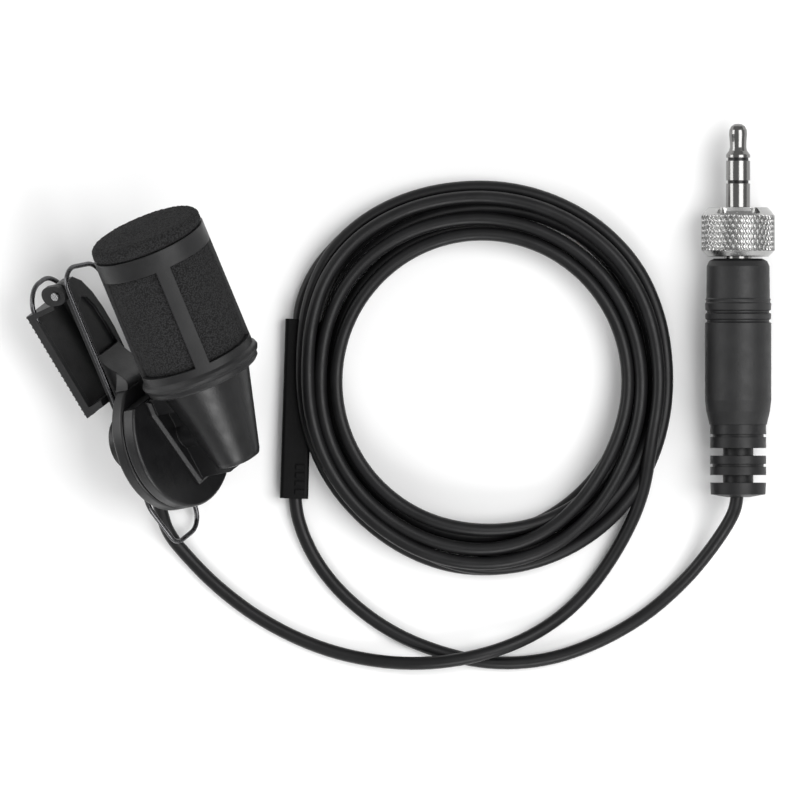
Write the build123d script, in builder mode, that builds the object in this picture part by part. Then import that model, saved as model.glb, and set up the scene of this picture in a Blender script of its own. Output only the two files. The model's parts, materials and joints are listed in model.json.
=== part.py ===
from build123d import *

import os
from math import cos, pi, radians, sin, tan

# A clip-on lavalier microphone: swivelling head with a foam windshield in a cage, a sprung
# wire-and-lever clip, and a cable, coiled and laid on the table, that ends in a locking 3.5 mm
# jack. Millimetres, +Z up, the table at Z = 0. The origin is the centre of the box round the
# microphone and its clip, at the table.

# ---------------------------------------------------------------- driving dimensions
# Lie of the clip on the table: centre of its disc's back face, and three angles.
CLIP_AT = Vector(2.37, -9.09, 8.43)
HEADING = 22.4
LIFT = 14.0
ROLL = 40.0

# Clip disc and swivel, along the clip's outward direction.
DISC_R = 11.0
DISC_FLAT = 7.3
BASE_FLAT = 9.4
BASE_DISC_TOP = 2.1
SWIVEL_DISC_BOTTOM = 2.18
SWIVEL_DISC_TOP = 4.3
BOSS_R = 6.6
ARM_FRONT = -2.55
ARM_BACK = -3.75
STUD_R = 2.0
STUD_BORE_R = 1.05
STUD_TOP = 6.6
STUD_TAIL = -4.75
RUNNING = 0.06

# Head, as radii and heights along its own axis.
HEAD_OUT = 12.03
HOUSING_BOTTOM = -5.9
HOUSING_BOTTOM_R = 3.5
HOUSING_SHOULDER = 7.5
HOUSING_SHOULDER_R = 6.8
HOUSING_WALL = 0.8
BARREL_R = 6.4
BARREL_TOP = 11.0
CAN_R = 5.5
CAN_TOP = 13.4
CAGE_R = 8.4
CAGE_BOTTOM = 7.6
CAGE_RING_TOP = 11.1
CAGE_TOP_RING = 26.4
CAGE_TOP = 29.2
BEAD_R = 8.9
BEAD_AT = 9.2
RIB_WIDTH = 2.2
RIB_IN_R = 6.9
RIB_TURN = 43.0
FOAM_R = 7.8
FOAM_CAP_R = 8.2
FOAM_TOP = 31.2
FOAM_BORE_R = 5.85

# Clip arm, wires and lever.
WIRE_R = 0.35
WIRE_LEVEL = -2.15
LEG_NEAR = -4.0
LEG_FAR = 4.5
PIVOT_ALONG = 25.2
PIVOT_OUT = -4.35
PIN_R = 0.5
EAR_R = 1.5
LEVER_HALF = 4.4
LEVER_WALL = 0.8

# Cable, coil and marker.
CABLE_R = 0.95
COIL_HEIGHT = 5.7
MARKER_W = 4.1
MARKER_L = 26.0
MARKER_H = 2.6

# Plug: a stereo 3.5 mm jack, its axis along Y.
PLUG_X = 85.9
PLUG_TIP_Y = 36.0
PLUG_Z = 5.3
JACK_R = 1.75
INSULATOR_R = 1.5
SHOULDER = 14.0
LOCK_FRONT = 12.1
LOCK_BACK = 19.2
LOCK_R = 5.3
SHELL_FRONT = 19.5
SHELL_R = 4.8
SHELL_BACK = 43.5
RELIEF_R = 4.05
RELIEF_BACK = 54.0

# ---------------------------------------------------------------- frames
AXIS = Vector(
    -sin(radians(HEADING)) * cos(radians(LIFT)),
    cos(radians(HEADING)) * cos(radians(LIFT)),
    sin(radians(LIFT)),
)
ACROSS = Vector(cos(radians(HEADING)), sin(radians(HEADING)), 0)
OUT = ACROSS * cos(radians(ROLL)) + ACROSS.cross(AXIS) * sin(radians(ROLL))
SIDE = AXIS.cross(OUT)

CLIP = Plane(origin=CLIP_AT, x_dir=SIDE, z_dir=OUT)
PROFILE = Plane(origin=CLIP_AT, x_dir=AXIS, z_dir=SIDE)
HEAD_AT = CLIP_AT + OUT * HEAD_OUT
HEAD_SECTION = Plane(origin=HEAD_AT, x_dir=SIDE, z_dir=OUT)
HEAD = Plane(origin=HEAD_AT, x_dir=SIDE, z_dir=AXIS)
HEAD_AXIS = Axis(HEAD_AT, AXIS)
PLUG_SECTION = Plane(origin=(PLUG_X, PLUG_TIP_Y, PLUG_Z), x_dir=(1, 0, 0), z_dir=(0, 0, -1))
PLUG_AXIS = Axis((PLUG_X, PLUG_TIP_Y, PLUG_Z), (0, -1, 0))


def at_clip(side, along, out):
    """A point in the clip's own frame, as a point in space."""
    return CLIP_AT + SIDE * side + AXIS * along + OUT * out


def finish(piece, name):
    """Labels a finished piece and writes it as one STEP file."""
    piece.part.label = name
    export_step(piece.part, f"parts/{name}.step")


def turned(section, axis, outline):
    """A solid of revolution from a closed outline of (radius, height) points."""
    with BuildPart() as solid:
        with BuildSketch(section):
            with BuildLine():
                Polyline(*outline, close=True)
            make_face()
        revolve(axis=axis)
    return solid


def head_solid(outline):
    """A turned piece on the head's axis."""
    return turned(HEAD_SECTION, HEAD_AXIS, outline)


def plug_solid(outline):
    """A turned piece on the plug's axis, heights measured back from the jack's tip."""
    return turned(PLUG_SECTION, PLUG_AXIS, outline)


def disc(radius, bottom, top):
    """Outline of a plain disc."""
    return [(0, bottom), (radius, bottom), (radius, top), (0, top)]


def ring(inner, outer, bottom, top):
    """Outline of a plain ring."""
    return [(inner, bottom), (outer, bottom), (outer, top), (inner, top)]


def round_wire(points, radii, radius):
    """A round wire along straight runs joined by arcs."""
    with BuildPart() as wire:
        with BuildLine() as path:
            FilletPolyline(*points, radius=radii)
        start = Plane(origin=path.line @ 0, z_dir=path.line % 0)
        with BuildSketch(start):
            Circle(radius)
        sweep(path=path.line)
    return wire


def corner_radii(points):
    """Arc radius at each corner of a cord: as large as its two runs allow."""
    radii = []
    for before, here, after in zip(points, points[1:], points[2:]):
        run_in = here - before
        run_out = after - here
        turn = radians(run_in.get_angle(run_out))
        shorter = min(run_in.length, run_out.length)
        radii.append(0.45 * shorter / tan(turn / 2))
    return radii


os.makedirs("parts", exist_ok=True)

# ---------------------------------------------------------------- microphone housing
CAP_BORE_R = HOUSING_BOTTOM_R - 1.1
CAP_TOP = HOUSING_BOTTOM + 1.2
CAN_SEAT = 5.2
HOUSING_OUTLINE = [
    (HOUSING_BOTTOM_R - 0.8, HOUSING_BOTTOM),
    (HOUSING_BOTTOM_R - 0.25, HOUSING_BOTTOM + 0.2),
    (HOUSING_BOTTOM_R, HOUSING_BOTTOM + 0.8),
    (HOUSING_SHOULDER_R, HOUSING_SHOULDER),
]

capsule_housing = head_solid(
    [
        (CAP_BORE_R, HOUSING_BOTTOM),
        *HOUSING_OUTLINE,
        (BARREL_R, HOUSING_SHOULDER),
        (BARREL_R, BARREL_TOP),
        (CAN_R, BARREL_TOP),
        (CAN_R, CAN_SEAT),
        (CAN_R - 0.5, CAN_SEAT),
        (HOUSING_BOTTOM_R - HOUSING_WALL, CAP_TOP),
        (CAP_BORE_R, CAP_TOP),
    ]
)
with BuildPart() as lead_passage:
    with BuildSketch(CLIP.offset(STUD_TOP - 1)):
        Circle(STUD_BORE_R)
    extrude(amount=HEAD_OUT - STUD_TOP - 2)
with BuildPart() as housing_with_passage:
    add(capsule_housing.part)
    add(lead_passage.part, mode=Mode.SUBTRACT)
finish(housing_with_passage, "capsule_housing")

finish(head_solid(disc(CAP_BORE_R - 0.02, HOUSING_BOTTOM + 0.1, CAP_TOP)), "housing_end_cap")

# ---------------------------------------------------------------- capsule, from its can inwards
CAN_BOTTOM = 5.3
CAN_WALL = 0.4
CAVITY_R = CAN_R - CAN_WALL - 0.05
SOUND_HOLE_R = 2.6
LEAD_HOLE_R = 1.2
capsule_can = head_solid(
    [
        (LEAD_HOLE_R, CAN_BOTTOM),
        (CAN_R, CAN_BOTTOM),
        (CAN_R, CAN_TOP),
        (SOUND_HOLE_R, CAN_TOP),
        (SOUND_HOLE_R, CAN_TOP - CAN_WALL),
        (CAN_R - CAN_WALL, CAN_TOP - CAN_WALL),
        (CAN_R - CAN_WALL, CAN_BOTTOM + CAN_WALL),
        (LEAD_HOLE_R, CAN_BOTTOM + CAN_WALL),
    ]
)
finish(capsule_can, "capsule_can")

PLATE_R = 4.3
PLATE_THICK = 1.0
PLATE_TOP = CAN_TOP - 1.8
PLATE_HOLES = 6
PLATE_HOLE_R = 0.5
PLATE_HOLES_AT = 2.6
FIT = 0.05
finish(head_solid(disc(CAVITY_R, CAN_TOP - 0.7, CAN_TOP - 0.42)), "acoustic_gauze")
finish(head_solid(ring(PLATE_R, CAVITY_R, CAN_TOP - 1.5, CAN_TOP - 0.75)), "diaphragm_ring")
finish(head_solid(disc(CAVITY_R, CAN_TOP - 1.65, CAN_TOP - 1.55)), "diaphragm")

with BuildPart() as backplate:
    with BuildSketch(HEAD.offset(PLATE_TOP - PLATE_THICK)):
        Circle(PLATE_R)
        with PolarLocations(PLATE_HOLES_AT, PLATE_HOLES):
            Circle(PLATE_HOLE_R, mode=Mode.SUBTRACT)
    extrude(amount=PLATE_THICK)
finish(backplate, "backplate")

HOLDER_LEDGE_R = 3.4
HOLDER_BOTTOM = PLATE_TOP - 2.0
backplate_holder = head_solid(
    [
        (HOLDER_LEDGE_R, HOLDER_BOTTOM),
        (CAVITY_R, HOLDER_BOTTOM),
        (CAVITY_R, PLATE_TOP + 0.1),
        (PLATE_R + FIT, PLATE_TOP + 0.1),
        (PLATE_R + FIT, PLATE_TOP - PLATE_THICK - FIT),
        (HOLDER_LEDGE_R, PLATE_TOP - PLATE_THICK - FIT),
    ]
)
finish(backplate_holder, "backplate_holder")

BOARD_BOTTOM = 7.2
BOARD_TOP = 7.9
STRAND_R = 0.28
STRAND_SIDES = (-0.7, 0.7)
with BuildPart() as preamp_board:
    with BuildSketch(HEAD.offset(BOARD_BOTTOM)):
        Circle(CAVITY_R)
        with Locations([(side, 0) for side in STRAND_SIDES]):
            Circle(STRAND_R + 0.07, mode=Mode.SUBTRACT)
    extrude(amount=BOARD_TOP - BOARD_BOTTOM)
finish(preamp_board, "preamp_board")

TRANSISTOR = (2.6, 1.4)
CAPACITOR = (0.8, 1.6)
COMPONENT_HEIGHT = 0.9
with BuildPart() as preamp_components:
    with BuildSketch(HEAD.offset(BOARD_TOP)):
        with Locations((0, -2.6)):
            Rectangle(*TRANSISTOR)
        with Locations((-3.0, 1.0), (3.0, 1.0)):
            Rectangle(*CAPACITOR)
    extrude(amount=COMPONENT_HEIGHT)
finish(preamp_components, "preamp_components")


def lead_wire(side):
    """One inner lead: down from the board, then out through the hollow stud."""
    in_stud = 0.7 * side
    start = HEAD_AT + SIDE * side + AXIS * (BOARD_TOP + 0.2)
    low = HEAD_AT + SIDE * in_stud + AXIS * 3.4
    corner = at_clip(in_stud, 0, HEAD_OUT)
    end = at_clip(in_stud, 0, STUD_TAIL + 0.2)
    return round_wire([start, low, corner, end], [1.2, 1.2], STRAND_R)


with BuildPart() as lead_wires:
    for strand_side in STRAND_SIDES:
        add(lead_wire(strand_side).part)
finish(lead_wires, "lead_wires")

# ---------------------------------------------------------------- windshield
cage_body = head_solid(
    [
        (BARREL_R + RUNNING, CAGE_BOTTOM),
        (CAGE_R - 0.3, CAGE_BOTTOM),
        (CAGE_R, CAGE_BOTTOM + 0.3),
        (CAGE_R, BEAD_AT - 0.75),
        (BEAD_R - 0.15, BEAD_AT - 0.4),
        (BEAD_R, BEAD_AT),
        (BEAD_R - 0.15, BEAD_AT + 0.4),
        (CAGE_R, BEAD_AT + 0.75),
        (CAGE_R, CAGE_RING_TOP),
        (BARREL_R + RUNNING, CAGE_RING_TOP),
    ]
)
with BuildPart() as windshield_cage:
    add(cage_body.part)
    with BuildSketch(HEAD.offset(CAGE_TOP_RING)):
        Circle(CAGE_R)
        Circle(RIB_IN_R + 0.3, mode=Mode.SUBTRACT)
    extrude(amount=CAGE_TOP - CAGE_TOP_RING)
    with BuildSketch(HEAD.offset(CAGE_RING_TOP)):
        for rib_angle in (RIB_TURN, RIB_TURN + 90):
            Rectangle(3 * CAGE_R, RIB_WIDTH, rotation=rib_angle)
        Circle(CAGE_R, mode=Mode.INTERSECT)
        Circle(RIB_IN_R + 0.1, mode=Mode.SUBTRACT)
    extrude(amount=CAGE_TOP_RING - CAGE_RING_TOP)
finish(windshield_cage, "windshield_cage")

FOAM_IN_RING_R = RIB_IN_R + 0.25
foam_body = head_solid(
    [
        (FOAM_BORE_R, CAGE_RING_TOP + 0.05),
        (FOAM_R, CAGE_RING_TOP + 0.05),
        (FOAM_R, CAGE_TOP_RING - 0.05),
        (FOAM_IN_RING_R, CAGE_TOP_RING - 0.05),
        (FOAM_IN_RING_R, CAGE_TOP + 0.05),
        (FOAM_CAP_R, CAGE_TOP + 0.05),
        (FOAM_CAP_R, FOAM_TOP - 0.6),
        (FOAM_CAP_R - 0.6, FOAM_TOP),
        (0, FOAM_TOP),
        (0, CAN_TOP + 2),
        (FOAM_BORE_R, CAN_TOP + 2),
    ]
)
with BuildPart() as windshield_foam:
    add(foam_body.part)
    with BuildSketch(HEAD.offset(CAGE_RING_TOP)):
        for rib_angle in (RIB_TURN, RIB_TURN + 90):
            Rectangle(3 * CAGE_R, RIB_WIDTH + 0.1, rotation=rib_angle)
        Circle(RIB_IN_R, mode=Mode.SUBTRACT)
    extrude(amount=CAGE_TOP_RING - CAGE_RING_TOP, mode=Mode.SUBTRACT)
finish(windshield_foam, "windshield_foam")

# ---------------------------------------------------------------- saddle and swivel
housing_form = head_solid([(0, HOUSING_BOTTOM), *HOUSING_OUTLINE, (0, HOUSING_SHOULDER)])
SADDLE_HALF = 5.6
SADDLE_NOSE_HALF = 1.6
SADDLE_PLATE = 0.9
SADDLE_EDGE = 0.42
STUD_WALL = 0.6
SADDLE_OUTLINE = [
    (-SADDLE_HALF, HOUSING_SHOULDER - 0.4),
    (-SADDLE_HALF, 5.0),
    (-SADDLE_NOSE_HALF, -7.9),
    (2.2 * SADDLE_NOSE_HALF, -7.6),
    (SADDLE_HALF, 5.0),
    (SADDLE_HALF, HOUSING_SHOULDER - 0.4),
]
with BuildPart() as mic_saddle:
    with BuildSketch(CLIP.offset(SWIVEL_DISC_TOP)):
        with BuildLine():
            Polyline(*SADDLE_OUTLINE, close=True)
        make_face()
    extrude(amount=SADDLE_PLATE)
    chamfer(faces().sort_by(Axis(CLIP_AT, OUT))[-1].edges(), SADDLE_EDGE)
    with BuildSketch(CLIP.offset(SWIVEL_DISC_TOP)):
        with Locations((0, 5.85)):
            Rectangle(9.6, 2.5)
        with BuildLine():
            Polyline((-2.6, 5.0), (-1.0, -7.1), (1.6, -7.1), (2.6, 5.0), close=True)
        make_face()
        Circle(STUD_R + STUD_WALL)
    extrude(amount=HEAD_OUT - 1.5 - SWIVEL_DISC_TOP)
    add(housing_form.part, mode=Mode.SUBTRACT)
    with BuildSketch(CLIP.offset(SWIVEL_DISC_TOP)):
        Circle(STUD_R)
    extrude(amount=STUD_TOP - SWIVEL_DISC_TOP, mode=Mode.SUBTRACT)
    with BuildSketch(CLIP.offset(STUD_TOP)):
        Circle(STUD_BORE_R)
    extrude(amount=HEAD_OUT - STUD_TOP, mode=Mode.SUBTRACT)
finish(mic_saddle, "mic_saddle")

GROOVE_R = STUD_R - 0.3
CIRCLIP_R = 2.9
WASHER_R = 3.0
with BuildPart() as swivel_stud:
    with BuildSketch(CLIP.offset(STUD_TAIL)):
        Circle(STUD_R)
        Circle(STUD_BORE_R, mode=Mode.SUBTRACT)
    extrude(amount=STUD_TOP - STUD_TAIL)
    with BuildSketch(CLIP.offset(STUD_TAIL + 0.2)):
        Circle(STUD_R + 1)
        Circle(GROOVE_R, mode=Mode.SUBTRACT)
    extrude(amount=0.4, mode=Mode.SUBTRACT)
finish(swivel_stud, "swivel_stud")

with BuildPart() as swivel_circlip:
    with BuildSketch(CLIP.offset(STUD_TAIL + 0.22)):
        Circle(CIRCLIP_R)
        Circle(GROOVE_R, mode=Mode.SUBTRACT)
        with Locations((0, 2.6)):
            Rectangle(1.0, 2.4, mode=Mode.SUBTRACT)
    extrude(amount=0.36)
finish(swivel_circlip, "swivel_circlip")

with BuildPart() as swivel_washer:
    with BuildSketch(CLIP.offset(ARM_BACK - 0.38)):
        Circle(WASHER_R)
        Circle(STUD_R + 0.02, mode=Mode.SUBTRACT)
    extrude(amount=0.33)
finish(swivel_washer, "swivel_washer")

# ---------------------------------------------------------------- clip: wire loop, discs and arm
hoop_outline = [
    (LEG_NEAR, 6.0),
    (LEG_NEAR, 28.9),
    (LEG_FAR - 0.2, 26.3),
    (LEG_FAR, 0.0),
    (3.4, -15.5),
    (-3.4, -15.6),
    (-5.9, -8.6),
    (-5.6, -5.0),
    (LEG_NEAR, 1.0),
    (LEG_NEAR, 5.9),
]
hoop_radii = [2.6, 3.2, 8.0, 3.0, 2.0, 4.0, 4.0, 3.0]
hoop_corners = [at_clip(side, along, WIRE_LEVEL) for side, along in hoop_outline]
wire_hoop = round_wire(hoop_corners, hoop_radii, WIRE_R)
finish(wire_hoop, "wire_hoop")


def stacked_disc(bottom, top, bore_r, flat):
    """One of the two stacked discs: bored for the stud, cut off flat below the windshield."""
    with BuildPart() as piece:
        with BuildSketch(CLIP.offset(bottom)):
            Circle(DISC_R)
            with Locations((0, flat + DISC_R)):
                Rectangle(3 * DISC_R, 2 * DISC_R, mode=Mode.SUBTRACT)
        extrude(amount=top - bottom)
        fillet(piece.edges().filter_by(GeomType.CIRCLE), 0.45)
        with BuildSketch(CLIP.offset(bottom)):
            Circle(bore_r)
        extrude(amount=top - bottom, mode=Mode.SUBTRACT)
    return piece


with BuildPart() as clip_base_disc:
    add(stacked_disc(0, BASE_DISC_TOP, STUD_R + RUNNING, BASE_FLAT).part)
    with BuildSketch(CLIP.offset(ARM_FRONT)):
        Circle(BOSS_R)
        Circle(STUD_R + RUNNING, mode=Mode.SUBTRACT)
    extrude(amount=-ARM_FRONT)
    add(wire_hoop.part, mode=Mode.SUBTRACT)
finish(clip_base_disc, "clip_base_disc")

swivel_disc = stacked_disc(SWIVEL_DISC_BOTTOM, SWIVEL_DISC_TOP, STUD_R, DISC_FLAT)
finish(swivel_disc, "swivel_disc")

ARM_OUTLINE = [
    (-3.2, -4.6),
    (-3.2, 14.0),
    (-3.4, 25.6),
    (-2.9, 26.6),
    (-1.5, 26.7),
    (0.0, 25.4),
    (1.3, 23.0),
    (2.2, 20.2),
    (2.9, 16.6),
    (3.2, 13.0),
    (3.2, -4.6),
]
ARM_RECESS = [
    (-2.5, 12.0),
    (-2.7, 22.6),
    (-1.4, 23.4),
    (-0.2, 22.9),
    (0.9, 20.8),
    (1.6, 18.2),
    (2.2, 14.6),
    (2.4, 12.0),
]
ARM_RECESS_DEPTH = 0.5
ARM_SKIN = 0.6
NECK_END = 14.6
NECK_BOTTOM = ARM_FRONT - 0.1
NECK_LAP = 0.2
# The neck joins the arm to the base disc: it narrows from the disc and its top slopes down.
with BuildPart() as arm_neck:
    with BuildSketch(CLIP.offset(-NECK_LAP)):
        with BuildLine():
            near_edge = Spline((-5.3, BASE_FLAT), (-3.8, 11.2), (-3.3, NECK_END))
            Line(near_edge @ 1, (2.5, NECK_END))
            far_edge = Spline((2.5, NECK_END), (3.0, 11.2), (5.3, BASE_FLAT))
            Line(far_edge @ 1, near_edge @ 0)
        make_face()
    extrude(amount=BASE_DISC_TOP + NECK_LAP)
    with BuildSketch(CLIP.offset(NECK_BOTTOM)):
        with Locations((-0.4, (BASE_FLAT - 2.4 + NECK_END) / 2)):
            Rectangle(5.8, NECK_END - BASE_FLAT + 2.4)
    extrude(amount=-NECK_BOTTOM)
    with BuildSketch(PROFILE.offset(-DISC_R)):
        with BuildLine():
            slope = Spline((BASE_FLAT + 0.2, BASE_DISC_TOP), (11.4, 0.3), (NECK_END, ARM_FRONT),
                           tangents=((1, -0.2), (1, -0.3)))
            Polyline(slope @ 1, (NECK_END, NECK_BOTTOM), (BASE_FLAT - 3, NECK_BOTTOM),
                     (BASE_FLAT - 3, BASE_DISC_TOP), slope @ 0)
        make_face()
    extrude(amount=2 * DISC_R, mode=Mode.INTERSECT)

with BuildPart() as clip_arm:
    with BuildSketch(CLIP.offset(ARM_BACK)):
        with BuildLine():
            Polyline(*ARM_OUTLINE, close=True)
        make_face()
        Circle(STUD_R + RUNNING, mode=Mode.SUBTRACT)
    extrude(amount=ARM_FRONT - ARM_BACK)
    add(arm_neck.part)
    with BuildSketch(CLIP.offset(ARM_FRONT)):
        with BuildLine():
            Polyline(*ARM_RECESS, close=True)
        make_face()
    extrude(amount=-ARM_RECESS_DEPTH, mode=Mode.SUBTRACT)
    with BuildSketch(PROFILE.offset(-3.3)):
        with Locations((PIVOT_ALONG, PIVOT_OUT)):
            Circle(EAR_R - 0.1)
    extrude(amount=2.0)
    with BuildSketch(PROFILE.offset(-4)):
        with Locations((PIVOT_ALONG, PIVOT_OUT)):
            Circle(PIN_R)
    extrude(amount=4, mode=Mode.SUBTRACT)
    with BuildSketch(CLIP.offset(ARM_FRONT - ARM_SKIN)):
        with Locations((0.2, PIVOT_ALONG + 0.2)):
            Rectangle(2.8, 3.4)
    extrude(amount=-4, mode=Mode.SUBTRACT)
finish(clip_arm, "clip_arm")

with BuildPart() as pivot_pin:
    with BuildSketch(PROFILE.offset(-LEVER_HALF - 0.1)):
        with Locations((PIVOT_ALONG, PIVOT_OUT)):
            Circle(PIN_R)
    extrude(amount=LEVER_HALF + 0.2)
    for head_start, head_thick in ((-LEVER_HALF - 0.45, 0.35), (0.1, 0.4)):
        with BuildSketch(PROFILE.offset(head_start)):
            with Locations((PIVOT_ALONG, PIVOT_OUT)):
                Circle(PIN_R + 0.1)
        extrude(amount=head_thick)
finish(pivot_pin, "pivot_pin")

SPRING_R = 0.92
SPRING_WIRE_R = 0.16
SPRING_START = -1.0
with BuildPart() as torsion_spring:
    coil_plane = Plane(
        origin=at_clip(SPRING_START, PIVOT_ALONG, PIVOT_OUT), x_dir=AXIS, z_dir=SIDE
    )
    with BuildLine() as spring_path:
        spring_helix = Helix(pitch=0.36, height=0.9, radius=SPRING_R, mode=Mode.PRIVATE)
        add(coil_plane.location * spring_helix)
    with BuildSketch(Plane(origin=spring_path.line @ 0, z_dir=spring_path.line % 0)):
        Circle(SPRING_WIRE_R)
    sweep(path=spring_path.line)
finish(torsion_spring, "torsion_spring")

# ---------------------------------------------------------------- clip: lever and its wire
LEVER_LOW = (6.0, -8.35)
LEVER_HIGH = (22.8, -11.6)
HANDLE_OUT = -9.8
handle_points = [
    at_clip(side, along, HANDLE_OUT)
    for side, along in ((-4.0, 20.8), (-4.0, 24.3), (-1.8, 26.4), (1.8, 26.4), (4.0, 24.3), (4.0, 20.8))
]
handle_wire = round_wire(handle_points, [3.3] * 4, WIRE_R)
finish(handle_wire, "handle_wire")

NEAR_WALL = [LEVER_LOW, LEVER_HIGH, (23.1, -9.75), (6.5, -6.55)]
FAR_WALL = [LEVER_LOW, LEVER_HIGH, (23.2, -9.1), (6.65, -5.95)]
TOP_END = [LEVER_HIGH, (23.9, -5.7), (23.2, -5.6), (22.0, -11.4)]
TOP_END_WIDE = LEVER_HALF + 1.0
RIB_R = 0.17
RIB_COUNT = 21
with BuildPart() as clip_lever:
    for wall_start, wall_outline in ((-LEVER_HALF, NEAR_WALL), (LEVER_HALF - LEVER_WALL, FAR_WALL)):
        with BuildSketch(PROFILE.offset(wall_start)):
            with BuildLine():
                Polyline(*wall_outline, close=True)
            make_face()
        extrude(amount=LEVER_WALL)
    with BuildSketch(PROFILE.offset(-LEVER_HALF)):
        with BuildLine():
            Polyline(LEVER_LOW, LEVER_HIGH, (22.95, -10.8), (6.16, -7.55), close=True)
        make_face()
    extrude(amount=2 * LEVER_HALF)
    with BuildSketch(PROFILE.offset(-LEVER_HALF)):
        with BuildLine():
            Polyline(LEVER_LOW, (7.1, -8.55), (8.4, -4.15), (7.4, -4.15), close=True)
        make_face()
    extrude(amount=2 * LEVER_HALF)
    with BuildSketch(PROFILE.offset(-LEVER_HALF)):
        with BuildLine():
            Polyline(*TOP_END, close=True)
        make_face()
    extrude(amount=TOP_END_WIDE)
    near_face = clip_lever.faces().sort_by(Axis(CLIP_AT, SIDE))[0]
    chamfer(near_face.edges().sort_by(SortBy.LENGTH)[-1], length=0.55)
    with BuildSketch(PROFILE.offset(-LEVER_HALF + 0.6)):
        for rib in range(RIB_COUNT):
            share = (rib + 0.7) / RIB_COUNT
            rib_at = tuple(low + (high - low) * share for low, high in zip(LEVER_LOW, LEVER_HIGH))
            with Locations(rib_at):
                Circle(RIB_R)
    extrude(amount=2 * LEVER_HALF - 1.2)
    with BuildSketch(PROFILE.offset(-LEVER_HALF)):
        with Locations((PIVOT_ALONG, PIVOT_OUT), (PIVOT_ALONG, PIVOT_OUT - 1.1)):
            Circle(EAR_R)
        make_hull()
    extrude(amount=LEVER_WALL)
    with BuildSketch(PROFILE.offset(-LEVER_HALF - 1)):
        with Locations((PIVOT_ALONG, PIVOT_OUT)):
            Circle(PIN_R + RUNNING)
    extrude(amount=2, mode=Mode.SUBTRACT)
    add(handle_wire.part, mode=Mode.SUBTRACT)
finish(clip_lever, "clip_lever")

# ---------------------------------------------------------------- cable gland behind the disc
GLAND_BACK = -6.25
SPOUT_OUT = -5.1
SPOUT_END = -8.0
SPOUT_START = -3.6
SPOUT_R = 1.6
GLAND_R = 4.2
GLAND_WALL = 0.8
GLAND_FLOOR = 0.6
with BuildPart() as cable_gland:
    with BuildSketch(CLIP.offset(GLAND_BACK)):
        Circle(GLAND_R)
    extrude(amount=ARM_BACK - GLAND_BACK)
    with BuildSketch(CLIP.offset(GLAND_BACK + GLAND_FLOOR)):
        Circle(GLAND_R - GLAND_WALL)
    extrude(amount=ARM_BACK - GLAND_BACK, mode=Mode.SUBTRACT)
    with BuildSketch(Plane(origin=at_clip(0, SPOUT_START, SPOUT_OUT), x_dir=SIDE, z_dir=-AXIS)):
        Circle(SPOUT_R)
    extrude(amount=SPOUT_START - SPOUT_END)
    with BuildSketch(Plane(origin=at_clip(0, SPOUT_START + 0.6, SPOUT_OUT), x_dir=SIDE, z_dir=-AXIS)):
        Circle(CABLE_R)
    extrude(amount=6, mode=Mode.SUBTRACT)
    with BuildSketch(CLIP.offset(ARM_BACK)):
        Rectangle(20, 20)
    extrude(amount=3, mode=Mode.SUBTRACT)
finish(cable_gland, "cable_gland")

# ---------------------------------------------------------------- marker sleeve and coil
MARKER_AT = (22.06, -5.22)
MARKER_TILT = -1.8
CABLE_IN_MARKER = 1.25
BLOCK = (1.3, 0.7)
BLOCK_COUNT = 4
BLOCK_PITCH = 1.2
BLOCK_RAISED = 0.2
COIL_AT = (49.35, -0.8)
COIL_OUTER = (27.2, 28.6)
COIL_HOLE_SHIFT = (-0.5, -0.5)
COIL_HOLE = (20.15, 20.4)

MARKER = Plane(
    origin=(MARKER_AT[0], MARKER_AT[1], 0),
    x_dir=(cos(radians(MARKER_TILT)), sin(radians(MARKER_TILT)), 0),
    z_dir=(0, 0, 1),
)
MARKER_ALONG = Vector(-sin(radians(MARKER_TILT)), cos(radians(MARKER_TILT)), 0)


def in_marker(along):
    """A point on the cable's line inside the marker sleeve."""
    return Vector(MARKER_AT[0], MARKER_AT[1], CABLE_IN_MARKER) + MARKER_ALONG * along


with BuildPart() as marker_sleeve:
    with BuildSketch(MARKER):
        Rectangle(MARKER_W, MARKER_L)
    extrude(amount=MARKER_H)
    fillet(marker_sleeve.edges().filter_by(lambda edge: edge.length > MARKER_L - 1), 0.5)
marker_form = marker_sleeve.part
with BuildPart() as marker_bored:
    add(marker_form)
    with BuildSketch(MARKER.offset(MARKER_H - 0.2)):
        for block in range(BLOCK_COUNT):
            with Locations((0.75, -12.0 + block * BLOCK_PITCH)):
                Rectangle(*BLOCK)
    extrude(amount=0.2 + BLOCK_RAISED)
    with BuildSketch(Plane(origin=in_marker(-MARKER_L / 2 - 1), z_dir=MARKER_ALONG)):
        Circle(CABLE_R)
    extrude(amount=MARKER_L + 2, mode=Mode.SUBTRACT)
finish(marker_bored, "marker_sleeve")

with BuildPart() as cable_coil:
    with BuildSketch(Plane(origin=(COIL_AT[0], COIL_AT[1], 0))):
        Ellipse(*COIL_OUTER)
        with Locations(COIL_HOLE_SHIFT):
            Ellipse(*COIL_HOLE, mode=Mode.SUBTRACT)
    extrude(amount=COIL_HEIGHT)
    fillet(cable_coil.edges().group_by(Axis.Z)[-1], 1.6)
    fillet(cable_coil.edges().group_by(Axis.Z)[0], 0.6)
    add(marker_form, mode=Mode.SUBTRACT)
finish(cable_coil, "cable_coil")

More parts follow.
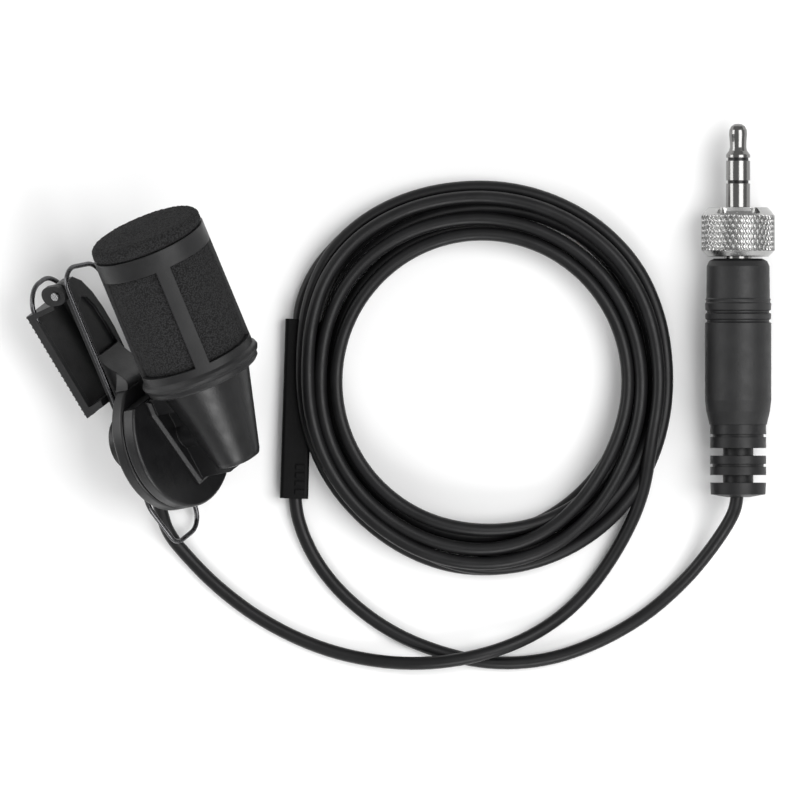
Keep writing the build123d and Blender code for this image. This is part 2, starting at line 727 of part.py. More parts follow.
# ---------------------------------------------------------------- free stretches of cable
LYING = CABLE_R + 0.02
CROSSING = 3 * CABLE_R + 0.15
mic_lead_points = [
    at_clip(0, -5.6, SPOUT_OUT),
    at_clip(-0.2, -10.4, SPOUT_OUT + 0.1),
    Vector(3.2, -22.9, 1.7),
    Vector(5.6, -26.0, 1.05),
    Vector(10.4, -31.0, LYING),
    Vector(17.2, -36.1, LYING),
    Vector(25.4, -40.0, LYING),
    Vector(33.6, -41.9, LYING + 0.5),
    Vector(41.6, -42.2, CROSSING),
    Vector(50.0, -40.7, CROSSING),
    Vector(57.4, -37.6, LYING + 0.4),
    Vector(63.6, -32.6, LYING),
    Vector(68.6, -25.6, 1.3),
    Vector(72.2, -18.0, 2.9),
    Vector(75.3, -10.4, COIL_HEIGHT - CABLE_R),
]
plug_lead_points = [
    in_marker(-4.6),
    in_marker(-13.6),
    Vector(23.0, -23.8, LYING),
    Vector(25.6, -28.6, LYING),
    Vector(29.7, -33.2, LYING),
    Vector(35.2, -37.3, LYING),
    Vector(41.6, -40.2, LYING),
    Vector(49.6, -42.2, LYING),
    Vector(58.0, -41.8, LYING),
    Vector(65.6, -39.2, LYING),
    Vector(72.6, -35.2, LYING),
    Vector(78.2, -30.2, 1.35),
    Vector(82.0, -25.6, 3.0),
    Vector(84.9, -21.2, 4.8),
    Vector(PLUG_X - 0.1, -18.6, PLUG_Z),
    Vector(PLUG_X, -15.4, PLUG_Z),
]
marker_lead_points = (in_marker(MARKER_L / 2 - 0.5), in_marker(-4.6))

with BuildPart() as cable_marker_lead:
    with BuildSketch(Plane(origin=marker_lead_points[1], z_dir=MARKER_ALONG)):
        Circle(CABLE_R)
    extrude(amount=(marker_lead_points[0] - marker_lead_points[1]).length)
finish(cable_marker_lead, "cable_marker_lead")

for lead_name, points in (("cable_mic_lead", mic_lead_points), ("cable_plug_lead", plug_lead_points)):
    radii = corner_radii(points)
    lead = round_wire(points, radii, CABLE_R)
    finish(lead, lead_name)
    length = lead.part.volume / (pi * CABLE_R**2)
    runs = [(b - a).length for a, b in zip(points, points[1:])]
    print(lead_name, "arc radii", [round(r, 1) for r in radii])
    print(lead_name, "runs", [round(run, 1) for run in runs], "length from volume", round(length, 1))

# ---------------------------------------------------------------- jack
CORE_R = 0.5
INNER_R = 0.75
RING_TUBE_R = 1.05
OUTER_TUBE_R = 1.3
TIP_BACK = 4.9
RING_FRONT = 5.35
RING_BACK = 8.2
SLEEVE_FRONT = 8.65
CORE_BACK = 21.0
INNER_BACK = 19.8
RING_TUBE_BACK = 20.2
OUTER_BACK = 19.0
plug_tip = plug_solid(
    [
        (0, 0),
        (0.55, 0.06),
        (1.0, 0.35),
        (1.27, 0.9),
        (1.32, 1.5),
        (1.22, 2.6),
        (1.2, 3.4),
        (1.32, 3.9),
        (JACK_R - 0.05, 4.4),
        (JACK_R, 4.5),
        (JACK_R, TIP_BACK),
        (CORE_R, TIP_BACK),
        (CORE_R, CORE_BACK),
        (0, CORE_BACK),
    ]
)
finish(plug_tip, "plug_tip")

plug_ring = plug_solid(
    [
        (INNER_R, RING_FRONT),
        (JACK_R, RING_FRONT),
        (JACK_R, RING_BACK),
        (RING_TUBE_R, RING_BACK),
        (RING_TUBE_R, RING_TUBE_BACK),
        (INNER_R, RING_TUBE_BACK),
    ]
)
finish(plug_ring, "plug_ring")

with BuildPart() as plug_insulators:
    add(
        plug_solid(
            [
                (CORE_R, TIP_BACK),
                (INSULATOR_R, TIP_BACK),
                (INSULATOR_R, RING_FRONT),
                (INNER_R, RING_FRONT),
                (INNER_R, INNER_BACK),
                (CORE_R, INNER_BACK),
            ]
        ).part
    )
    add(
        plug_solid(
            [
                (RING_TUBE_R, RING_BACK),
                (INSULATOR_R, RING_BACK),
                (INSULATOR_R, SLEEVE_FRONT),
                (OUTER_TUBE_R, SLEEVE_FRONT),
                (OUTER_TUBE_R, OUTER_BACK),
                (RING_TUBE_R, OUTER_BACK),
            ]
        ).part
    )
finish(plug_insulators, "plug_insulators")

NECK_R = 2.0
FLANGE_R = 3.1
NUT_R = 3.3
NUT_FRONT = 21.0
NUT_BACK = 22.4
plug_sleeve = plug_solid(
    [
        (OUTER_TUBE_R, SLEEVE_FRONT),
        (JACK_R, SLEEVE_FRONT),
        (JACK_R, SHOULDER),
        (FLANGE_R, SHOULDER),
        (FLANGE_R, SHOULDER + 1),
        (NECK_R, SHOULDER + 1),
        (NECK_R, NUT_FRONT),
        (NUT_R, NUT_FRONT),
        (NUT_R, NUT_BACK),
        (OUTER_TUBE_R, NUT_BACK),
    ]
)
finish(plug_sleeve, "plug_sleeve")

THREAD_R = 3.6
THREAD_BACK = 17.9
lock_ring = plug_solid(
    [
        (THREAD_R, LOCK_FRONT),
        (LOCK_R - 1.0, LOCK_FRONT),
        (LOCK_R, LOCK_FRONT + 1.3),
        (LOCK_R, LOCK_BACK - 1.0),
        (LOCK_R - 0.9, LOCK_BACK),
        (NECK_R + RUNNING, LOCK_BACK),
        (NECK_R + RUNNING, THREAD_BACK),
        (THREAD_R, THREAD_BACK),
    ]
)
finish(lock_ring, "lock_ring")
finish(plug_solid(ring(NECK_R, 2.9, 17.35, 17.82)), "lock_ring_clip")

# ---------------------------------------------------------------- plug shell and strain relief
SHELL_BORE_R = 3.6
CLAMP_BORE_R = 2.3
groove_outline = []
for groove_at, groove_depth in ((25.7, 0.15), (27.2, 0.3), (28.5, 0.3)):
    groove_outline += [
        (SHELL_R - 0.05, groove_at - 0.3),
        (SHELL_R - groove_depth, groove_at - 0.12),
        (SHELL_R - groove_depth, groove_at + 0.12),
        (SHELL_R, groove_at + 0.3),
    ]
plug_shell = plug_solid(
    [
        (NECK_R + 0.02, SHELL_FRONT),
        (3.5, SHELL_FRONT),
        (4.2, SHELL_FRONT + 0.35),
        (4.55, SHELL_FRONT + 1.1),
        (4.6, 25.2),
        *groove_outline,
        (SHELL_R, 40.0),
        (4.6, 41.6),
        (RELIEF_R + 0.1, SHELL_BACK),
        (CLAMP_BORE_R, SHELL_BACK),
        (CLAMP_BORE_R, 42.3),
        (SHELL_BORE_R, 41.0),
        (SHELL_BORE_R, NUT_BACK + 0.2),
        (NUT_R + 0.02, NUT_BACK + 0.2),
        (NUT_R + 0.02, NUT_FRONT - 0.1),
        (NECK_R + 0.02, NUT_FRONT - 0.1),
    ]
)
finish(plug_shell, "plug_shell")

RELIEF_CORE_R = 2.2
relief_outline = [(RELIEF_R, SHELL_BACK)]
for slot_front, slot_back, slot_r in (
    (44.9, 45.3, RELIEF_R - 0.35),
    (46.9, 48.0, RELIEF_CORE_R),
    (49.2, 49.6, RELIEF_R - 0.35),
    (50.8, 51.9, RELIEF_CORE_R),
):
    relief_outline += [
        (RELIEF_R, slot_front),
        (slot_r, slot_front),
        (slot_r, slot_back),
        (RELIEF_R, slot_back),
    ]
plug_strain_relief = plug_solid(
    [
        (CABLE_R, SHELL_BACK),
        *relief_outline,
        (RELIEF_R - 0.1, RELIEF_BACK - 0.4),
        (1.6, RELIEF_BACK),
        (CABLE_R, RELIEF_BACK),
    ]
)
finish(plug_strain_relief, "plug_strain_relief")

CLAMP_FRONT = 36.0
plug_cable_clamp = plug_solid(ring(CABLE_R, CLAMP_BORE_R - FIT, CLAMP_FRONT, SHELL_BACK - 0.02))
finish(plug_cable_clamp, "plug_cable_clamp")

CORE_COUNT = 3
CORE_AT = 0.55
CORE_WIRE_R = 0.25
LEADS_FRONT = NUT_BACK + 0.1
with BuildPart() as plug_inner_leads:
    with BuildSketch(Plane(origin=(PLUG_X, PLUG_TIP_Y - LEADS_FRONT, PLUG_Z), z_dir=(0, -1, 0))):
        with PolarLocations(CORE_AT, CORE_COUNT):
            Circle(CORE_WIRE_R)
    extrude(amount=CLAMP_FRONT - LEADS_FRONT)
finish(plug_inner_leads, "plug_inner_leads")
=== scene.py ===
import json
from math import cos, degrees, pi, radians, sin, sqrt

import bmesh
import bpy
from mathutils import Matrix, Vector, noise


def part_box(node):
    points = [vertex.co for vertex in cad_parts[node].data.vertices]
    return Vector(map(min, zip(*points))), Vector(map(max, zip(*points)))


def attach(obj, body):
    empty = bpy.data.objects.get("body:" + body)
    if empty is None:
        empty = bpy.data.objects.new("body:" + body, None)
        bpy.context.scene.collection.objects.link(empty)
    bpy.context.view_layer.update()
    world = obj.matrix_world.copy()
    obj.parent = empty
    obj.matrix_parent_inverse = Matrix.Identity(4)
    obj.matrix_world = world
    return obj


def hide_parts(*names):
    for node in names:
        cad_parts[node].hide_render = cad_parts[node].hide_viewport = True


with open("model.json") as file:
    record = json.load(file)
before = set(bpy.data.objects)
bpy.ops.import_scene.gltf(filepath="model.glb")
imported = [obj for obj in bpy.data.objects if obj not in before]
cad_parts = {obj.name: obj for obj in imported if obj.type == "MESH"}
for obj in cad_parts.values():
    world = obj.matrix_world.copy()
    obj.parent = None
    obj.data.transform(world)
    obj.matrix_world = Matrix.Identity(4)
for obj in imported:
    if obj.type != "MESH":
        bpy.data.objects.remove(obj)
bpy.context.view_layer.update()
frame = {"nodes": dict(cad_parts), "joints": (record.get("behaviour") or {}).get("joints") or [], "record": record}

# A clip-on lavalier microphone on a pale table, seen from straight above. Metres, row frame.
MM = 0.001
nodes = frame["nodes"]
joints = {joint["name"]: joint for joint in frame["joints"]}

# ------------------------------------------------------------------ frames from the record
CLIP_AT = Vector(joints["head_swivel"]["pos_m"])
OUT = Vector(joints["head_swivel"]["axis"])
AXIS = Vector(joints["windshield_pull"]["axis"])
SIDE = Vector(joints["lever_squeeze"]["axis"])
HEAD_OUT = 12.03
HEAD_AT = CLIP_AT + OUT * HEAD_OUT * MM
PLUG_CENTRE = Vector(joints["lock_ring_spin"]["pos_m"])
PLUG_TIP = Vector((PLUG_CENTRE.x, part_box("plug_tip")[1].y, PLUG_CENTRE.z))
PLUG_BACK = Vector((0, -1, 0))


def at_clip(side, along, out):
    """A point given in the clip's own frame in millimetres, as a point in the row frame."""
    return CLIP_AT + (SIDE * side + AXIS * along + OUT * out) * MM


# ------------------------------------------------------------------ materials
def bare_material(name):
    """A node material with its shader, ready for links."""
    material = bpy.data.materials.new(name)
    material.use_nodes = True
    tree = material.node_tree
    return material, tree, tree.nodes["Principled BSDF"]


def object_noise(tree, size, detail=3.0, roughness=0.55):
    """A noise texture whose grains are about size metres across."""
    place = tree.nodes.new("ShaderNodeTexCoord")
    texture = tree.nodes.new("ShaderNodeTexNoise")
    texture.inputs["Scale"].default_value = 1.0 / size
    texture.inputs["Detail"].default_value = detail
    texture.inputs["Roughness"].default_value = roughness
    tree.links.new(place.outputs["Object"], texture.inputs["Vector"])
    return texture


def spread(tree, source, low, high):
    """Maps a 0 to 1 value to low to high."""
    scale = tree.nodes.new("ShaderNodeMapRange")
    scale.inputs["From Min"].default_value = 0.3
    scale.inputs["From Max"].default_value = 0.7
    scale.inputs["To Min"].default_value = low
    scale.inputs["To Max"].default_value = high
    tree.links.new(source, scale.inputs["Value"])
    return scale.outputs["Result"]


def mixed_colour(tree, factor, dark, light):
    """Blends two colours by a 0 to 1 value."""
    mix = tree.nodes.new("ShaderNodeMix")
    mix.data_type = "RGBA"
    mix.inputs["A"].default_value = (*dark, 1)
    mix.inputs["B"].default_value = (*light, 1)
    tree.links.new(factor, mix.inputs["Factor"])
    return mix.outputs["Result"]


def add_bump(tree, shader, height, strength, depth, edge=0.0):
    """Bump from a height, on normals that round the edges over a small radius."""
    bump = tree.nodes.new("ShaderNodeBump")
    bump.inputs["Strength"].default_value = strength
    bump.inputs["Distance"].default_value = depth
    tree.links.new(height, bump.inputs["Height"])
    if edge:
        bevel = tree.nodes.new("ShaderNodeBevel")
        bevel.samples = 4
        bevel.inputs["Radius"].default_value = edge
        tree.links.new(bevel.outputs["Normal"], bump.inputs["Normal"])
    tree.links.new(bump.outputs["Normal"], shader.inputs["Normal"])


def moulded(name, colour, rough, grain=0.00025, strength=0.25, edge=0.00012, mottle=0.25, sheen=0.3):
    """Moulded plastic or rubber: fine grain, cloudy colour and uneven gloss."""
    material, tree, shader = bare_material(name)
    shader.inputs["Specular IOR Level"].default_value = sheen
    cloud = object_noise(tree, 0.004)
    dark = [c * (1 - mottle) for c in colour]
    light = [c * (1 + mottle) for c in colour]
    tint = mixed_colour(tree, spread(tree, cloud.outputs["Fac"], 0, 1), dark, light)
    tree.links.new(tint, shader.inputs["Base Color"])
    patches = object_noise(tree, 0.0015)
    gloss = spread(tree, patches.outputs["Fac"], rough - 0.05, rough + 0.05)
    tree.links.new(gloss, shader.inputs["Roughness"])
    fine = object_noise(tree, grain, detail=2.0)
    add_bump(tree, shader, fine.outputs["Fac"], strength, grain * 0.3, edge)
    return material


def metal(name, colour, rough, streak=(1, 1, 1), edge=0.00006, uneven=0.15):
    """Plated or turned metal: faint streaks in gloss and height."""
    material, tree, shader = bare_material(name)
    shader.inputs["Metallic"].default_value = 1.0
    place = tree.nodes.new("ShaderNodeTexCoord")
    stretch = tree.nodes.new("ShaderNodeMapping")
    stretch.inputs["Scale"].default_value = streak
    tree.links.new(place.outputs["Object"], stretch.inputs["Vector"])
    texture = tree.nodes.new("ShaderNodeTexNoise")
    texture.inputs["Scale"].default_value = 4000
    tree.links.new(stretch.outputs["Vector"], texture.inputs["Vector"])
    dark = [c * 0.85 for c in colour]
    tint = mixed_colour(tree, spread(tree, texture.outputs["Fac"], 0, 1), dark, colour)
    tree.links.new(tint, shader.inputs["Base Color"])
    gloss = spread(tree, texture.outputs["Fac"], rough * 0.7, rough * 1.4)
    tree.links.new(gloss, shader.inputs["Roughness"])
    add_bump(tree, shader, texture.outputs["Fac"], uneven, 0.00002, edge)
    return material


FOAM_CELL = 0.00022


def foam(name, dark, light):
    """Open-cell foam: dark pores between lighter struts, the pores' darkness being painted shade."""
    material, tree, shader = bare_material(name)
    place = tree.nodes.new("ShaderNodeTexCoord")
    cells = tree.nodes.new("ShaderNodeTexVoronoi")
    cells.inputs["Scale"].default_value = 1 / FOAM_CELL
    tree.links.new(place.outputs["Object"], cells.inputs["Vector"])
    # Painted shade: the colour darkens away from each cell's centre to stand for shade in the foam's pores.
    tint = mixed_colour(tree, spread(tree, cells.outputs["Distance"], 0.1, 0.85), light, dark)
    tree.links.new(tint, shader.inputs["Base Color"])
    shader.inputs["Roughness"].default_value = 1.0
    shader.inputs["Specular IOR Level"].default_value = 0.15
    fuzz = object_noise(tree, 0.6 * FOAM_CELL, detail=4.0)
    height = tree.nodes.new("ShaderNodeMath")
    height.operation = "SUBTRACT"
    tree.links.new(fuzz.outputs["Fac"], height.inputs[0])
    tree.links.new(cells.outputs["Distance"], height.inputs[1])
    add_bump(tree, shader, height.outputs["Value"], 0.8, 0.00012)
    return material


def woven_gauze(name, colour):
    """Fine woven metal gauze."""
    material, tree, shader = bare_material(name)
    shader.inputs["Metallic"].default_value = 1.0
    shader.inputs["Roughness"].default_value = 0.4
    place = tree.nodes.new("ShaderNodeTexCoord")
    weave = tree.nodes.new("ShaderNodeTexChecker")
    weave.inputs["Scale"].default_value = 1 / 0.00012
    weave.inputs["Color1"].default_value = (*colour, 1)
    weave.inputs["Color2"].default_value = (*[c * 0.3 for c in colour], 1)
    tree.links.new(place.outputs["Object"], weave.inputs["Vector"])
    tree.links.new(weave.outputs["Color"], shader.inputs["Base Color"])
    add_bump(tree, shader, weave.outputs["Fac"], 0.3, 0.00003)
    return material


BLACK = (0.008, 0.008, 0.0085)
HOUSING_BLACK = (0.0045, 0.0045, 0.005)
LEVER_BLACK = (0.012, 0.012, 0.0125)
CAGE_BLACK = (0.011, 0.011, 0.0115)
CABLE_BLACK = (0.007, 0.007, 0.0075)
MARKER_BLACK = (0.002, 0.002, 0.0022)
materials = {
    "housing_black": moulded("HousingBlack", HOUSING_BLACK, 0.38, edge=0.0002, sheen=0.42),
    "lever_black": moulded("LeverBlack", LEVER_BLACK, 0.45, grain=0.0003, strength=0.35),
    "cage_black": moulded("CageBlack", CAGE_BLACK, 0.45, edge=0.0002),
    # The foam's darker colour is painted shade for its pores.
    "foam_grey": foam("FoamGrey", (0.007, 0.007, 0.007), (0.032, 0.032, 0.033)),
    "can_nickel": metal("CanNickel", (0.62, 0.61, 0.58), 0.3),
    "gauze_grey": woven_gauze("GauzeGrey", (0.45, 0.45, 0.45)),
    "membrane_silver": metal("MembraneSilver", (0.80, 0.80, 0.82), 0.12),
    "backplate_brass": metal("BackplateBrass", (0.75, 0.60, 0.28), 0.3),
    "holder_cream": moulded("HolderCream", (0.72, 0.68, 0.58), 0.35, mottle=0.05),
    "board_green": moulded("BoardGreen", (0.04, 0.2, 0.1), 0.3, mottle=0.1),
    "chip_black": moulded("ChipBlack", (0.03, 0.03, 0.03), 0.5),
    "lead_red": moulded("LeadRed", (0.4, 0.04, 0.03), 0.35, mottle=0.1),
    "steel_bright": metal("SteelBright", (0.55, 0.55, 0.56), 0.25, uneven=0.05),
    "wire_steel": metal("WireSteel", (0.1, 0.1, 0.104), 0.25, uneven=0.02),
    "cable_black": moulded("CableBlack", CABLE_BLACK, 0.4, grain=0.0002, strength=0.12, edge=0, sheen=0.25),
    "marker_black": moulded("MarkerBlack", MARKER_BLACK, 0.5, edge=0.00025, sheen=0.12),
    "jack_bright": metal("JackBright", (0.21, 0.208, 0.204), 0.14, streak=(1, 6, 1)),
    "insulator_black": moulded("InsulatorBlack", BLACK, 0.3),
    "ring_bright": metal("RingBright", (0.43, 0.43, 0.425), 0.2),
    "shell_black": moulded("ShellBlack", LEVER_BLACK, 0.5, edge=0.0001, sheen=0.35),
    "relief_black": moulded("ReliefBlack", BLACK, 0.45, edge=0.00015),
}
SLOT_OF = {part["node"]: part["material_slot"] for part in frame["record"]["subparts"]}


def paint(piece, slot):
    """Gives a piece one of the record's materials, alone."""
    piece.data.materials.clear()
    piece.data.materials.append(materials[slot])


for node_name, node in nodes.items():
    paint(node, SLOT_OF[node_name])


# ------------------------------------------------------------------ mesh helpers
def add_piece(name, mesh, slot, body):
    """Turns a bmesh into a shown piece that rides on a body."""
    bmesh.ops.recalc_face_normals(mesh, faces=mesh.faces)
    data = bpy.data.meshes.new(name)
    mesh.to_mesh(data)
    mesh.free()
    piece = bpy.data.objects.new(name, data)
    bpy.context.scene.collection.objects.link(piece)
    paint(piece, slot)
    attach(piece, body)
    return piece


def smooth(piece, angle=40):
    """Smooth shading, with edges sharper than angle degrees kept."""
    for face in piece.data.polygons:
        face.use_smooth = True
    piece.data.set_sharp_from_angle(angle=radians(angle))


def dense(outline, step):
    """The closed outline with no gap between its points over step."""
    points = []
    for here, there in zip(outline, outline[1:] + outline[:1]):
        a, b = Vector(here), Vector(there)
        count = max(1, round((b - a).length / step))
        points += [a.lerp(b, i / count) for i in range(count)]
    return points


def turned_mesh(centre, axis, across, outline, segments, shape=None):
    """A closed turned mesh from a closed outline of (radius, height) in millimetres.

    shape(radius, height, angle) may give back another (radius, height)."""
    mesh = bmesh.new()
    other = axis.cross(across)
    rings = []
    for i in range(segments):
        angle = 2 * pi * i / segments
        spoke = across * cos(angle) + other * sin(angle)
        ring = []
        for radius, height in outline:
            if shape:
                radius, height = shape(radius, height, angle)
            ring.append(mesh.verts.new(centre + (spoke * radius + axis * height) * MM))
        rings.append(ring)
    for ring, following in zip(rings, rings[1:] + rings[:1]):
        for j in range(len(outline)):
            k = (j + 1) % len(outline)
            mesh.faces.new((ring[j], ring[k], following[k], following[j]))
    return mesh


# ------------------------------------------------------------------ the cable: route, coil, end
CABLE = 0.0019
LYING = 0.97
CROSSING = 3.0
ACROSS_CABLE = 1.9
MARKER_AT = Vector((22.06, -5.22, 0))
MARKER_ALONG = Vector((sin(radians(1.8)), cos(radians(1.8)), 0))
MARKER_LENGTH = 26.0
CABLE_IN_MARKER = 1.25


def in_marker(along):
    """A point on the cable's line in the marker sleeve, in millimetres."""
    return MARKER_AT + MARKER_ALONG * along + Vector((0, 0, CABLE_IN_MARKER))


mic_route = [
    at_clip(0, -5.6, -5.1) / MM,
    at_clip(-0.2, -10.4, -5.0) / MM,
    Vector((3.2, -22.9, 1.7)),
    Vector((5.6, -26.0, 1.05)),
    Vector((10.4, -31.0, LYING)),
    Vector((17.2, -36.1, LYING)),
    Vector((25.4, -40.0, LYING)),
    Vector((33.6, -41.9, LYING + 0.5)),
    Vector((41.6, -42.2, CROSSING)),
    Vector((50.0, -40.7, CROSSING)),
    Vector((57.4, -37.6, LYING + 0.4)),
    Vector((63.6, -32.6, LYING)),
    Vector((68.6, -25.6, 1.3)),
    Vector((72.2, -18.0, 2.9)),
]
plug_route = [
    in_marker(-4.6),
    in_marker(-13.6),
    Vector((23.0, -23.8, LYING)),
    Vector((25.6, -28.6, LYING)),
    Vector((29.7, -33.2, LYING)),
    Vector((35.2, -37.3, LYING)),
    Vector((41.6, -40.2, LYING)),
    Vector((49.6, -42.2, LYING)),
    Vector((58.0, -41.8, LYING)),
    Vector((65.6, -39.2, LYING)),
    Vector((72.6, -35.2, LYING)),
    Vector((78.2, -30.2, 1.35)),
    Vector((82.0, -25.6, 3.0)),
    Vector((84.9, -21.2, 4.8)),
    Vector((85.8, -18.6, 5.3)),
    Vector((85.9, -15.4, 5.3)),
]

# The bundle of turns: its inner edge is an ellipse, and its width differs round the coil.
HOLE_AT = Vector((48.85, -1.3, 0))
HOLE = (20.15, 20.4)
BUNDLE_WIDTHS = (7.5, 8.7, 8.7, 9.6, 6.6, 6.8, 7.7, 7.9)
ENTRY = -22.0
LEAVING = 140.0
FULL_TURNS = 8
POINTS_PER_TURN = 24
CLIMB = 3.0
SHIFTS_START = 200.0
SHIFT_LENGTH = 61.0
STAGGER = 15.3
# Where each turn lies in the bundle: share of its width from the inside, and layer from the table.
PLACES = (
    (0.82, 2), (0.41, 2), (0.0, 2), (0.18, 1), (0.05, 0), (0.5, 0), (0.59, 1), (1.0, 1), (1.0, 0),
)
SHIFT_LAGS = (5, 5, 4, 4, 3, 2, 1, 0)
# The outer turns rise over the marker sleeve between these angles, and every turn drifts a little.
MARKER_FROM = 132
MARKER_TO = 222
OUTER_SHARE = 0.62
MARKER_LIFT = 0.75
DRIFT = 0.07


def ease(share):
    """Goes smoothly from 0 to 1."""
    share = min(1.0, max(0.0, share))
    return share * share * (3 - 2 * share)


def bundle_width(degrees):
    """Width of the bundle of turns at an angle round the coil."""
    place = (degrees % 360) / 45
    before = int(place)
    share = ease(place - before)
    a, b = BUNDLE_WIDTHS[before % 8], BUNDLE_WIDTHS[(before + 1) % 8]
    return a + (b - a) * share


def coil_point(turned):
    """A point of the coil after a number of degrees since the entry, in millimetres."""
    turn = int(turned // 360)
    degrees = ENTRY + turned - 360 * turn
    share, layer = PLACES[turn]
    if turn < FULL_TURNS:
        shift = ease((degrees - SHIFTS_START - STAGGER * SHIFT_LAGS[turn]) / SHIFT_LENGTH)
        next_share, next_layer = PLACES[turn + 1]
        share += (next_share - share) * shift
        layer += (next_layer - layer) * shift
    angle = radians(degrees)
    near_marker = ease((degrees - MARKER_FROM) / 24) * ease((MARKER_TO - degrees) / 18)
    over_marker = near_marker * ease((share - OUTER_SHARE) / 0.3)
    height = LYING + ACROSS_CABLE * layer + MARKER_LIFT * over_marker * min(1, layer)
    drift = DRIFT * sin(angle + 1.9 * layer) * min(share, 1 - share) * 4
    inside = sqrt(1 / ((cos(angle) / HOLE[0]) ** 2 + (sin(angle) / HOLE[1]) ** 2))
    radius = inside + CABLE / MM / 2 + (bundle_width(degrees) - CABLE / MM) * (share + drift)
    radius /= cos(pi / POINTS_PER_TURN)
    return HOLE_AT + Vector((radius * cos(angle), radius * sin(angle), height))


def coil_route():
    """The coil's turns, evenly spaced from where the cable climbs on to where it leaves."""
    total = 360 * FULL_TURNS + LEAVING - ENTRY
    count = round(total / 360 * POINTS_PER_TURN)
    return [coil_point(CLIMB + (total - CLIMB) * i / count) for i in range(count + 1)]


into_marker = [
    Vector((23.9, 13.4, LYING)),
    in_marker(MARKER_LENGTH / 2 + 1.6),
    in_marker(MARKER_LENGTH / 2 - 1),
]
cable_route = mic_route + coil_route() + into_marker + plug_route


def cord_curve(name, points, width):
    """One smooth open NURBS spline with a round section, from points in millimetres."""
    curve = bpy.data.curves.new(name, "CURVE")
    curve.dimensions = "3D"
    curve.bevel_depth = width / 2
    curve.bevel_resolution = 6
    curve.resolution_u = 6
    curve.use_fill_caps = True
    spline = curve.splines.new("NURBS")
    spline.points.add(len(points) - 1)
    for point, place in zip(spline.points, points):
        point.co = (*(place * MM), 1)
    spline.order_u = 3
    spline.use_endpoint_u = True
    piece = bpy.data.objects.new(name, curve)
    bpy.context.scene.collection.objects.link(piece)
    return piece


cable = cord_curve("Cable", cable_route, CABLE)
paint(cable, "cable_black")
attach(cable, "clip")
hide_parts("cable_mic_lead", "cable_coil", "cable_marker_lead", "cable_plug_lead")


# ------------------------------------------------------------------ foam windshield
CAGE_RING_TOP = 11.1
CAGE_TOP_RING = 26.4
CAGE_TOP = 29.2
FOAM_TOP = 31.2
FOAM_STEP = 0.2


def foam_shape(radius, height, angle):
    """Uneven, slightly crowned foam: pores on the outside only."""
    if radius < 6.2 and height < CAGE_TOP:
        return radius, height
    place = Vector((radius * cos(angle), radius * sin(angle), height))
    pores = noise.noise(place * 2.9) * 0.07 + noise.noise(place * 6.5) * 0.06
    if CAGE_RING_TOP + 0.3 < height < CAGE_TOP_RING - 0.2 and radius > 7:
        share = (height - CAGE_RING_TOP) / (CAGE_TOP_RING - CAGE_RING_TOP)
        return radius + 0.22 * sin(pi * share) + pores, height
    if height > FOAM_TOP - 0.7:
        crown = 0.35 * (1 - (radius / 8.2) ** 2)
        return radius + pores * min(1, radius / 2), height + crown + pores
    return radius + pores, height


foam_outline = [
    (5.9, CAGE_RING_TOP + 0.06),
    (7.7, CAGE_RING_TOP + 0.06),
    (7.8, CAGE_RING_TOP + 0.4),
    (7.8, CAGE_TOP_RING - 0.1),
    (7.1, CAGE_TOP_RING),
    (7.1, CAGE_TOP + 0.05),
    (8.0, CAGE_TOP + 0.05),
    (8.25, CAGE_TOP + 0.4),
    (8.25, FOAM_TOP - 0.9),
    (8.1, FOAM_TOP - 0.45),
    (7.8, FOAM_TOP - 0.15),
    (7.3, FOAM_TOP),
    (0.02, FOAM_TOP),
    (0.02, 15.5),
    (5.9, 15.5),
]
foam_mesh = turned_mesh(HEAD_AT, AXIS, SIDE, dense(foam_outline, FOAM_STEP), 260, foam_shape)
foam_piece = add_piece("WindshieldFoam", foam_mesh, "foam_grey", "windshield")
smooth(foam_piece, 180)
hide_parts("windshield_foam")


# ------------------------------------------------------------------ knurled locking ring
KNURL_COUNT = 40
KNURL_PITCH = 0.75
KNURL_DEPTH = 0.34
KNURL_FRONT = 13.3
KNURL_BACK = 18.3
SLOT_R = 3.9
SLOT_BACK = 13.0
SLOT_HALF = 8.0


def fold(value):
    """A triangle wave from 0 to 1 and back, once per unit."""
    return abs(2 * (value % 1) - 1)


def knurled(radius, height, angle):
    """Diamond knurling on the ring's outer band, and six spanner slots in its front rim."""
    slot = abs(degrees(angle) % 60 - 30)
    if radius > SLOT_R and height < SLOT_BACK and slot > 30 - SLOT_HALF:
        return SLOT_R, height
    if radius < 5.0 or not KNURL_FRONT - 0.01 <= height <= KNURL_BACK + 0.01:
        return radius, height
    along = (height - KNURL_FRONT) / KNURL_PITCH
    round_it = angle / (2 * pi) * KNURL_COUNT
    cut = min(fold(along / 2 + round_it), fold(along / 2 - round_it))
    return radius - KNURL_DEPTH * (1 - min(1, cut * 2.2)), height


ring_outline = dense(
    [(3.6, 12.1), (4.3, 12.1), (4.9, 12.7), (5.3, KNURL_FRONT), (5.3, KNURL_BACK), (4.4, 19.2),
     (2.06, 19.2), (2.06, 17.9), (3.6, 17.9)],
    0.125,
)
ring_mesh = turned_mesh(PLUG_TIP, PLUG_BACK, Vector((1, 0, 0)), ring_outline, 480, knurled)
ring_piece = add_piece("KnurledRing", ring_mesh, "ring_bright", "lock_ring")
smooth(ring_piece, 50)
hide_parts("lock_ring")


# ------------------------------------------------------------------ smooth shading on CAD nodes
for node in nodes.values():
    smooth(node, 28)


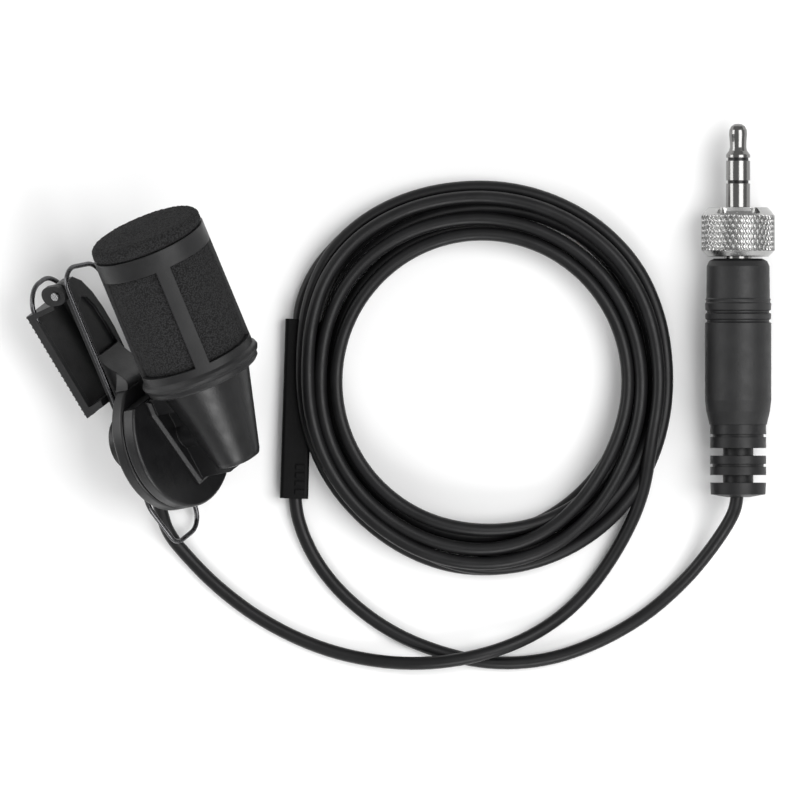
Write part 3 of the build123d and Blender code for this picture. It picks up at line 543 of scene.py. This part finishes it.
# ------------------------------------------------------------------ floor, light and camera
def area_light(name, place, target, size, power, colour=(1, 1, 1)):
    """A square softbox that faces its target."""
    light = bpy.data.lights.new(name, "AREA")
    light.shape = "SQUARE"
    light.size = size
    light.energy = power
    light.color = colour
    lamp = bpy.data.objects.new(name, light)
    bpy.context.scene.collection.objects.link(lamp)
    lamp.location = place
    lamp.rotation_euler = (Vector(target) - Vector(place)).to_track_quat("-Z", "Y").to_euler()
    return lamp


def make_floor():
    """A plain pale table top under everything."""
    data = bpy.data.meshes.new("Floor")
    half = 1.5
    corners = [(-half, -half, 0), (half, -half, 0), (half, half, 0), (-half, half, 0)]
    data.from_pydata(corners, [], [(0, 1, 2, 3)])
    floor = bpy.data.objects.new("Floor", data)
    bpy.context.scene.collection.objects.link(floor)
    floor.location.z = -0.02 * MM
    material, tree, shader = bare_material("FloorPale")
    cloud = object_noise(tree, 0.3)
    tint = mixed_colour(tree, cloud.outputs["Fac"], (0.9, 0.9, 0.9), (0.92, 0.92, 0.92))
    tree.links.new(tint, shader.inputs["Base Color"])
    shader.inputs["Roughness"].default_value = 0.9
    data.materials.append(material)


def make_world(level):
    """Even light from all round."""
    world = bpy.data.worlds.new("Studio")
    world.use_nodes = True
    world.node_tree.nodes["Background"].inputs["Color"].default_value = (1, 1, 1, 1)
    world.node_tree.nodes["Background"].inputs["Strength"].default_value = level
    bpy.context.scene.world = world


CAMERA_OVER = (0.0370, -0.00395)
CAMERA_HEIGHT = 3.0
VIEW_WIDTH = 0.1159
SENSOR = 36.0


def make_camera():
    """A long lens straight above the middle of the picture."""
    data = bpy.data.cameras.new("Camera")
    data.sensor_width = SENSOR
    data.lens = SENSOR * CAMERA_HEIGHT / VIEW_WIDTH
    data.clip_start = 0.1
    data.clip_end = 10
    camera = bpy.data.objects.new("Camera", data)
    bpy.context.scene.collection.objects.link(camera)
    camera.location = (*CAMERA_OVER, CAMERA_HEIGHT)
    bpy.context.scene.camera = camera


make_floor()
make_world(0.46)
area_light("RightSoftbox", (0.48, 0.05, 0.75), (0.04, 0, 0), 0.6, 5.6)
area_light("FrontSoftbox", (0.2, -0.72, 0.5), (0.03, 0, 0), 0.4, 3.6)
area_light("LeftFill", (-0.7, 0.2, 0.35), (0.03, 0, 0), 0.5, 3.2)
make_camera()
bpy.context.scene.view_settings.view_transform = "Standard"

# ------------------------------------------------------------------ final scene update
bpy.context.view_layer.update()
